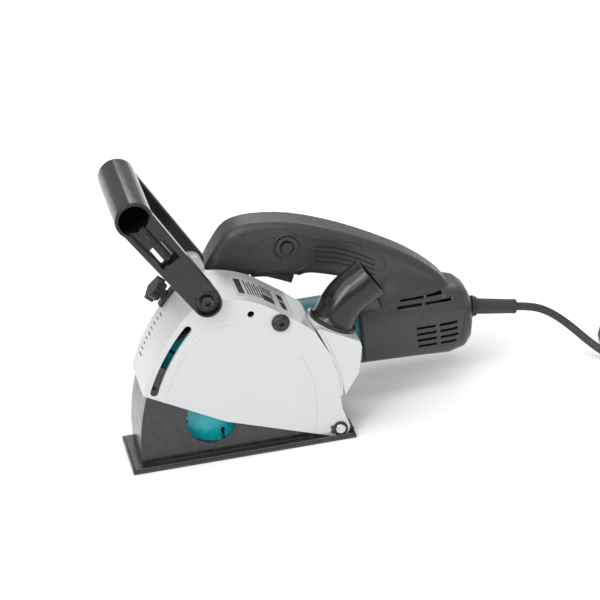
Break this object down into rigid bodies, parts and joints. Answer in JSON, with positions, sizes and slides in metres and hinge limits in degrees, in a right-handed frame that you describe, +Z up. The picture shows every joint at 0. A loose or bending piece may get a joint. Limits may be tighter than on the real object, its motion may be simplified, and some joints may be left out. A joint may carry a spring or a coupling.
{
  "type": "wall chaser",
  "caption": "Hand-held power tool that cuts parallel grooves in masonry, with a plunging base, wheel cover, dust nozzle, loop front handle and rear trigger handle.",
  "frame": {"origin": "underside of the base plate, directly below the plunge pivot, mid-width of the base", "axes": "+X to the rear, where the cord leaves; +Y to the motor side; +Z up from the work surface"},
  "size_m": [0.6167, 0.1727, 0.2746],
  "materials": {
    "silver_paint": "satin light silver paint on a magnesium casting",
    "black_paint": "semi-gloss black paint",
    "gloss_plastic": "glossy black moulding",
    "grey_plastic": "dark grey moulding with a fine texture",
    "teal_plastic": "satin teal moulding",
    "wheel_teal": "bright teal paint",
    "steel": "machined",
    "black_oxide_steel": "black oxide",
    "brass": "machined",
    "copper": "machined copper segments",
    "rubber": "matte black rubber",
    "label": "blank printed film"
  },
  "bodies": {
    "tool": {"wheel_cover": "silver_paint", "back_cover": "silver_paint", "cover_screw": "black_oxide_steel", "label_plate": "label", "dust_port": "silver_paint", "gear_housing": "silver_paint", "motor_housing": "teal_plastic", "stator": "black_oxide_steel", "bearing_plate": "silver_paint", "motor_bearing_front": "steel", "motor_bearing_rear": "steel", "rear_bearing_seat": "grey_plastic", "brush_holder_top": "brass", "brush_holder_bottom": "brass", "handle_shell_near": "grey_plastic", "handle_shell_far": "grey_plastic", "switch_body": "gloss_plastic", "trigger_pin": "steel", "cord_guard": "rubber", "cord": "rubber", "cord_coil": "rubber", "cord_tail": "rubber", "plug": "rubber", "pivot_pin": "steel", "pivot_clip_near": "black_oxide_steel", "pivot_clip_far": "black_oxide_steel", "plunge_spring": "steel", "bearing_box": "silver_paint", "spindle_bearing": "steel", "needle_bearing": "steel", "handle_bolt_near": "black_oxide_steel", "handle_bolt_far": "black_oxide_steel", "handle_washer_near": "black_oxide_steel", "handle_washer_far": "black_oxide_steel"},
    "base": {"base_plate": "black_paint", "guide_screw": "black_oxide_steel"},
    "front_handle": {"front_handle": "gloss_plastic", "stored_key": "black_oxide_steel"},
    "depth_stop": {"depth_stop": "black_oxide_steel"},
    "depth_knob": {"depth_knob": "gloss_plastic"},
    "spindle": {"spindle": "steel", "wheel_outer": "wheel_teal", "wheel_inner": "wheel_teal", "inner_flange": "steel", "spacer_wide": "steel", "spacer_narrow": "steel", "lock_nut": "black_oxide_steel", "ring_gear": "steel"},
    "armature": {"armature_shaft": "steel", "rotor_core": "black_oxide_steel", "commutator": "copper", "cooling_fan": "gloss_plastic", "bevel_pinion": "steel"},
    "trigger": {"trigger": "grey_plastic"},
    "lock_button": {"lock_button": "gloss_plastic"},
    "spindle_lock": {"spindle_lock": "gloss_plastic"},
    "dust_nozzle": {"dust_nozzle": "gloss_plastic"}
  },
  "joints": [
    {"name": "base_plunge", "type": "hinge", "parent": "tool", "child": "base", "pos_m": [0, 0, 0.01], "axis": [0, 1, 0], "range_deg": [0, 15], "stiffness_Nm_per_rad": 6, "springref_deg": -38.39},
    {"name": "handle_tilt", "type": "hinge", "parent": "tool", "child": "front_handle", "pos_m": [-0.1145, 0, 0.1653], "axis": [0, 1, 0], "range_deg": [-40, 0]},
    {"name": "depth_slide", "type": "hinge", "parent": "tool", "child": "depth_stop", "pos_m": [0, 0, 0.01], "axis": [0, 1, 0], "range_deg": [-13, 0]},
    {"name": "depth_knob_turn", "type": "hinge", "parent": "depth_stop", "child": "depth_knob", "pos_m": [-0.14434, 0.0324, 0.14554], "axis": [-0.729, 0, 0.6845], "range_deg": [-90, 90]},
    {"name": "spindle_spin", "type": "hinge", "parent": "tool", "child": "spindle", "pos_m": [-0.109, 0, 0.069], "axis": [0, 1, 0], "continuous": true},
    {"name": "armature_spin", "type": "hinge", "parent": "tool", "child": "armature", "pos_m": [0, 0.068, 0.069], "axis": [1, 0, 0], "continuous": true},
    {"name": "trigger_pull", "type": "hinge", "parent": "tool", "child": "trigger", "pos_m": [-0.0515, 0.068, 0.1427], "axis": [0, 1, 0], "range_deg": [-7, 0], "stiffness_Nm_per_rad": 0.6, "springref_deg": 17.19},
    {"name": "lock_button_press", "type": "slide", "parent": "tool", "child": "lock_button", "axis": [0, 1, 0], "range_m": [0, 0.003], "stiffness_N_per_m": 400, "springref_m": -0.003},
    {"name": "spindle_lock_press", "type": "slide", "parent": "tool", "child": "spindle_lock", "axis": [1, 0, 0], "range_m": [0, 0.004], "stiffness_N_per_m": 400, "springref_m": -0.003},
    {"name": "nozzle_swivel", "type": "hinge", "parent": "tool", "child": "dust_nozzle", "pos_m": [0.0055, -0.005, 0.1076], "axis": [0.4631, 0, 0.8863], "range_deg": [-60, 60]}
  ],
  "couplings": [
    {"joint": "armature_spin", "follows": "spindle_spin", "ratio": 3}
  ]
}
